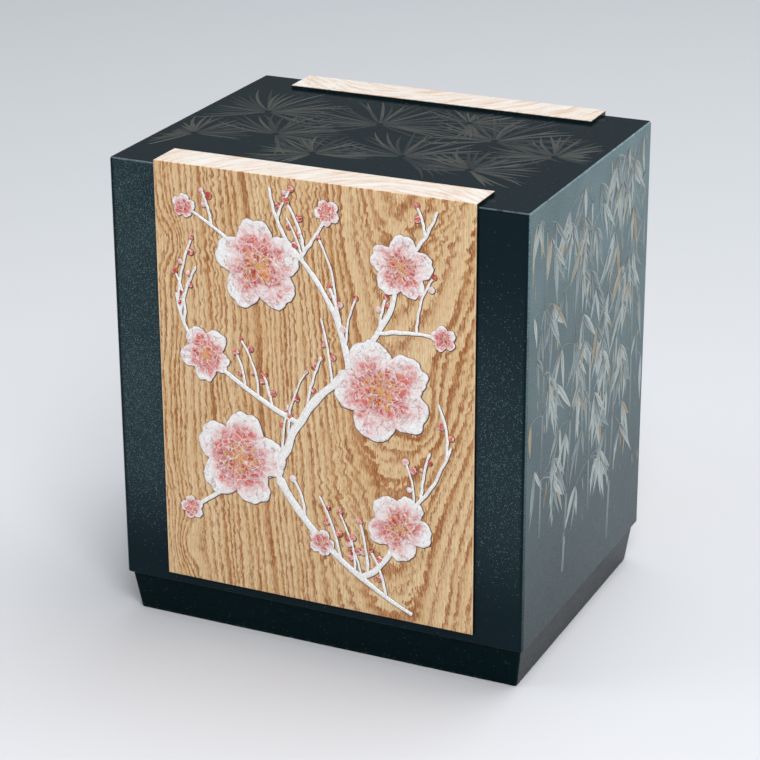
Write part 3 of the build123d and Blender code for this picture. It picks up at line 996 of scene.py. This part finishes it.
def buds(parts, route, draw):
    """Round buds on alternate sides of a shoot and at its tip, with some left out."""
    shells, beds_and_shadows = parts
    path = through(*route, bud_places[-1])
    side = draw.choice((-1, 1))
    for i in bud_places:
        if draw.random() < bud_skip:
            continue
        side = -side
        heading = (path[i] - path[i - 1]).normalized()
        radius = draw.uniform(*bud_radius)
        away = 0.0 if i == bud_places[-1] else side * (radius + bud_gap)
        spot = path[i] + left_of(heading) * away
        tint = draw.uniform(0.1, 0.7)
        bead(shells, spot, radius, inlay_proud * 0.95, tint)
        bead(beds_and_shadows, spot + bed_shadow_shift, radius + bed_spread, bed_height, tint)


def inlay(end, face, blossom_shares, branch_shares, draw):
    """The raised picture on one board: branches, shoots and buds, and blossoms on top of them."""
    wide = 2 * board_half

    def spot(share):
        return Vector((share[0] / 1000 * wide, share[1] / 1000 * board_tall))

    blossoms = [(spot(place), width / 1000 * wide, turn) for *place, width, turn in blossom_shares]
    branches = [(*map(spot, places), thick, thin) for *places, thick, thin in branch_shares]
    wood = (Shape(face), Shape(face))
    flowers = (Shape(face), Shape(face), Shape(face))
    for *route, thick, thin in branches:
        branch(wood, route, thick, thin, blossoms, draw)
    for route, width in shoots(branches, blossoms, draw):
        branch(wood, route, width, width * 0.75, blossoms, draw)
        buds(flowers[:2], route, draw)
    for centre, width, turn in blossoms:
        blossom(flowers, centre, width, turn, draw)
    body = f"{end}_board"
    wood[0].build(f"{end}_branches", body, "inlay_branch", "branch", f"{end}_inlay_branches")
    wood[1].build(f"{end}_branch_beds_and_shadows", body, "inlay_branch", "bed_and_shadow")
    flowers[0].build(f"{end}_blossoms", body, "inlay_eggshell", "shell", f"{end}_inlay_blossoms")
    flowers[1].build(f"{end}_blossom_beds_and_shadows", body, "inlay_eggshell", "bed_and_shadow")
    flowers[2].build(f"{end}_stamens", body, "inlay_eggshell", "gold")


def on_side(path):
    """Whether a path stays on the side of the box, clear of its edges."""
    half = body_deep - edge_gap
    return all(abs(spot.x) < half and edge_gap < spot.y < body_tall - edge_gap for spot in path)


def leaf(shape, spot, heading, length, width, serial, draw):
    """One bamboo leaf as a low tapered stroke, if the face has room for it."""
    out = aim(heading)
    bend = left_of(out) * draw.uniform(-0.08, 0.08) * length
    path = through(spot, spot + out * length * 0.5 + bend, spot + out * length, len(leaf_shares) - 1)
    height = relief_height * draw.uniform(0.6, 1.0)
    if on_side(path):
        ribbon(shape, path, scaled(width, leaf_shares), height, serial=serial)


def leaf_cluster(shapes, start, side, serial, draw):
    """A twig with three to five leaves that hang from its end."""
    canes, leaves = shapes
    twig = start + Vector((side * draw.uniform(*twig_reach), draw.uniform(*twig_rise)))
    path = through(start, (start + twig) / 2 + Vector((0, twig_arch)), twig, len(twig_widths) - 1)
    if not on_side(path):
        return
    ribbon(canes, path, twig_widths, relief_height * 0.5, serial=serial)
    count = draw.randint(*leaf_count)
    spread = draw.uniform(*leaf_spread)
    for i in range(count):
        place = i - (count - 1) / 2
        swing = place * spread + side * draw.uniform(*leaf_swing)
        heading = -math.pi / 2 + max(-swing_limit, min(swing_limit, swing))
        length = draw.uniform(*leaf_length) * (1.0 - leaf_shrink * abs(place))
        width = draw.uniform(*leaf_width)
        leaf(leaves, twig, heading, length, width, serial + i + 1, draw)


def gold_flecks(face, draw):
    """Flecks of gold that fall like rain over one side of the box."""
    flecks = Shape(face)
    for i in range(fleck_count):
        spot = Vector((draw.uniform(-1, 1) * body_deep, draw.uniform(0.15, 1) * body_tall))
        drop = Vector((draw.uniform(-0.25, 0.25), -1.0)) * draw.uniform(*fleck_length)
        path = through(spot, spot + drop * 0.5, spot + drop, len(fleck_shares) - 1)
        if on_side(path):
            widths = scaled(draw.uniform(*fleck_width), fleck_shares)
            ribbon(flecks, path, widths, relief_height * 0.5, serial=i)
    return flecks


def bamboo_side(name, face, stalks, draw):
    """Bamboo in metal powder on one side of the box: stalks with joints, hanging leaves and gold flecks."""
    canes = Shape(face)
    leaves = Shape(face)
    serial = 0
    for across, lean, foot, tip, width in stalks:
        joint = foot
        while joint < tip:
            reach = min(tip, joint + draw.uniform(*joint_apart))
            start = Vector((across + lean * (joint - foot), joint + joint_gap))
            end = Vector((across + lean * (reach - foot), reach - joint_gap))
            path = through(start, (start + end) / 2, end, len(cane_shares) - 1)
            serial += 10
            widths = scaled(width, cane_shares)
            ribbon(canes, path, widths, relief_height * 0.7, serial=serial)
            if reach > leaf_start:
                for side in (-1, 1, draw.choice((-1, 1)), draw.choice((-1, 1))):
                    serial += 10
                    leaf_cluster((canes, leaves), end, side, serial, draw)
            joint = reach
    flecks = gold_flecks(face, draw)
    flecks.build(f"{name}_gold_flecks", "case", "body_lacquer", "fleck_powder")
    canes.build(f"{name}_bamboo_canes", "case", "body_lacquer", "cane_powder")
    leaves.build(f"{name}_bamboo_leaves", "case", "body_lacquer", "powder")


def pine_top(face, fans, draw):
    """Fans of pine needles on the top, in dim pewter. A needle that would pass an edge is cut short."""
    needles = Shape(face)
    serial = 0
    for across, up, size, turn in fans:
        spot = Vector((across, up))
        for i in range(needle_count):
            heading = math.radians(turn - fan_degrees / 2 + fan_degrees * i / (needle_count - 1))
            out = aim(heading + draw.uniform(-0.04, 0.04))
            length = size * draw.uniform(0.8, 1.05)
            bend = left_of(out) * draw.uniform(-0.04, 0.08) * length
            serial += 1
            height = relief_height * draw.uniform(0.4, 0.7)
            for cut in needle_cuts:
                way = spot + (out * length * 0.55 + bend) * cut
                tip = spot + out * length * cut
                path = through(spot + out * needle_start, way, tip, len(needle_shares) - 1)
                if all(abs(place.x) < body_half - top_gap and abs(place.y) < pine_reach for place in path):
                    widths = scaled(needle_width, needle_shares)
                    ribbon(needles, path, widths, height, serial=serial)
                    break
    needles.build("top_pine_fans", "case", "body_lacquer", "dim_powder")


def stream(shape, half_wide, level, draw):
    """A thin line of flowing water across a drawer's front, broken where the knob's rosette is."""
    start = -half_wide * draw.uniform(0.55, 1.0)
    end = half_wide * draw.uniform(0.55, 1.0)
    phase = draw.uniform(0, math.tau)
    runs = [[]]
    for i in range(stream_steps + 1):
        across = start + (end - start) * i / stream_steps
        waves = sum(high * math.sin(across / long + turns * phase) for high, long, turns in stream_waves)
        spot = Vector((across, level + waves))
        if spot.length > rosette_clear:
            runs[-1].append(spot)
        elif runs[-1]:
            runs.append([])
    for run in runs:
        last = len(run) - 1
        if last > 5:
            widths = [stream_tip_width + stream_swell * math.sin(math.pi * i / last) for i in range(last + 1)]
            ribbon(shape, run, widths, stream_height)


def gold_blossom(shape, spot, radius, turn, draw):
    """A small five-petalled blossom in gold, with a dome at its heart."""
    for i in range(5):
        heading = turn + math.tau * i / 5
        centre = spot + aim(heading) * radius * 0.56
        serial = draw.uniform(0, 50)
        petal(shape, spot, centre, radius * 0.42, heading, gold_petal_height, serial, radius)
    bead(shape, spot, radius * 0.16, gold_heart_height)


def free_spot(placed, size, half_wide, half_tall, draw):
    """A place on a drawer's front that is clear of the rosette and of the others placed, and its radius."""
    while True:
        radius = size * draw.uniform(0.85, 1.15)
        across = draw.uniform(radius - half_wide, half_wide - radius)
        spot = Vector((across, draw.uniform(radius - half_tall, half_tall - radius)))
        near = any((spot - other).length < radius + reach + motif_apart for other, reach in placed)
        if not near and spot.length >= rosette_clear + radius:
            return spot, radius


def drawer_design(number, draw):
    """Flowing water with drifting blossoms and petals, in gold on a drawer's front."""
    drawer = f"drawer_{number}"
    low, high = (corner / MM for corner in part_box(f"drawer_{number}_front"))
    face = (((low.x + high.x) / 2, low.y, (low.z + high.z) / 2), (1, 0, 0), (0, 0, 1))
    half_wide = (high.x - low.x) / 2 - drawer_side_gap
    half_tall = (high.z - low.z) / 2 - drawer_top_gap
    water = Shape(face)
    flowers = Shape(face)
    for share in stream_level_shares:
        stream(water, half_wide, share * half_tall, draw)
    placed = []
    for size, count, whole in drawer_motifs:
        for _ in range(count):
            spot, radius = free_spot(placed, size, half_wide, half_tall, draw)
            placed.append((spot, radius))
            turn = draw.uniform(0, math.tau)
            if whole:
                gold_blossom(flowers, spot, radius, turn, draw)
            else:
                serial = draw.uniform(0, 50)
                petal(flowers, spot, spot, radius, turn, loose_petal_height, serial, radius)
    water.build(f"{drawer}_gold_water", drawer, "drawer_front_lacquer", "gold")
    flowers.build(f"{drawer}_gold_blossoms", drawer, "drawer_front_lacquer", "petal_gold")


def dress_nodes():
    """Give every CAD node the look of the first pattern that fits its name."""
    for name, node in frame["nodes"].items():
        look = next(node_looks[pattern] for pattern in node_looks if fnmatch.fnmatchcase(name, pattern))
        node.data.materials.clear()
        node.data.materials.append(looks[look])


def lay_floor():
    """Pale matt floor, a little darker at the back as painted shade."""
    corners = [(-1, -1), (1, -1), (1, 1), (-1, 1)]
    mesh = bpy.data.meshes.new("floor")
    mesh.from_pydata([(x * floor_half, y * floor_half, 0) for x, y in corners], [], [(0, 1, 2, 3)])
    look = Look("floor")
    x, y, _ = look.split(look.place)
    base = look.mix((y - 0.3 * x).step(*floor_shade_fade), floor_near, floor_far)
    mesh.materials.append(look.finish(base, 1.0, Specular_IOR_Level=0.0))
    floor = add_object("floor", mesh)


def lamp(name, place, target, size, power):
    """A soft square lamp."""
    data = bpy.data.lights.new(name, "AREA")
    data.shape = "SQUARE"
    data.size = size
    data.energy = power
    piece = add_object(name, data)
    piece.location = place
    piece.rotation_euler = (Vector(target) - Vector(place)).to_track_quat("-Z", "Y").to_euler()


def world():
    """A grey world that is brighter overhead."""
    studio = bpy.data.worlds.new("studio")
    studio.use_nodes = True
    tree = studio.node_tree
    height = tree.nodes.new("ShaderNodeSeparateXYZ")
    tree.links.new(tree.nodes.new("ShaderNodeTexCoord").outputs["Generated"], height.inputs[0])
    strength = tree.nodes.new("ShaderNodeMapRange")
    for socket, value in zip(strength.inputs[1:5], world_fade):
        socket.default_value = value
    tree.links.new(height.outputs[2], strength.inputs[0])
    background = tree.nodes["Background"]
    background.inputs["Color"].default_value = world_colour
    tree.links.new(strength.outputs[0], background.inputs["Strength"])
    bpy.context.scene.world = studio


def camera():
    """The camera of the photograph."""
    data = bpy.data.cameras.new("camera")
    data.sensor_width = sensor_width
    data.lens = lens_length
    piece = add_object("camera", data)
    flat = math.cos(camera_elevation)
    ahead = -math.cos(camera_azimuth) * flat
    towards = Vector((math.sin(camera_azimuth) * flat, ahead, math.sin(camera_elevation)))
    piece.location = camera_target + towards * camera_distance
    turn = (-towards).to_track_quat("-Z", "Y").to_matrix().to_4x4()
    roll = Matrix.Rotation(camera_roll, 4, "Z")
    piece.rotation_euler = (turn @ roll).to_euler()
    bpy.context.scene.camera = piece


looks = {
    "body": body_lacquer(),
    "plinth": plinth_lacquer(),
    "front_wood": board_wood("front_board_wood", board_low.y, -1, front_pith, front_knots),
    "back_wood": board_wood("back_board_wood", -board_low.y, 1, back_pith, back_knots),
    "shell": eggshell(),
    "branch": branch_shell(),
    "bed_and_shadow": inlay_bed_and_shadow(),
    "gold": gold_relief(),
    "petal_gold": petal_gold(),
    "powder": powder("silver_powder", powder_silver, powder_pewter, powder_gold, 1.0),
    "cane_powder": powder("cane_powder", powder_pewter, powder_pewter, powder_silver, 0.8),
    "fleck_powder": powder("gold_powder", fleck_gold, powder_gold, fleck_gold, 1.0),
    "dim_powder": powder("pewter_powder", pewter_glint, pewter_dim, pewter_glint, 0.9),
    "inside": flaked_lacquer("flaked_lacquer", amber_lacquer, 1.0),
    "drawer_front": flaked_lacquer("drawer_front_lacquer", lacquer_plain, 0.35),
    "drawer_wood": drawer_wood("drawer_wood", "x"),
    "drawer_side_wood": drawer_wood("drawer_side_wood", "y"),
    "knob": knob_metal(),
}

# Looks of the CAD nodes, by patterns of their names
node_looks = {
    "plinth_*": "plinth",
    "case_*": "inside",
    "niche_shelf": "inside",
    "drawer_shelf*": "inside",
    "front_board": "front_wood",
    "back_board": "back_wood",
    "*_knob": "knob",
    "*_rosette": "knob",
    "drawer_*_front": "drawer_front",
    "drawer_*_side": "drawer_side_wood",
    "drawer_*": "drawer_wood",
    "*_inlay_blossoms": "shell",
    "*_inlay_branches": "branch",
    "*": "body",
}
dress_nodes()

# Faces to decorate: origin, and the directions across and up
front_face = ((0, board_low.y, board_low.z), (1, 0, 0), (0, 0, 1))
back_face = ((0, -board_low.y, board_low.z), (-1, 0, 0), (0, 0, 1))
right_face = ((body_half, 0, body_foot), (0, 1, 0), (0, 0, 1))
left_face = ((-body_half, 0, body_foot), (0, -1, 0), (0, 0, 1))
top_face = ((0, 0, body_top), (1, 0, 0), (0, 1, 0))

inlay("front", front_face, front_blossoms, front_branches, random.Random(11))
inlay("back", back_face, back_blossoms, back_branches, random.Random(23))
bamboo_side("right", right_face, right_stalks, random.Random(17))
bamboo_side("left", left_face, left_stalks, random.Random(21))
pine_top(top_face, pine_fans, random.Random(3))
for number in (1, 2, 3):
    drawer_design(number, random.Random(40 + number))

lay_floor()
for name, settings in lamps.items():
    lamp(name, *settings)
world()
camera()
bpy.context.scene.view_settings.view_transform = "Standard"
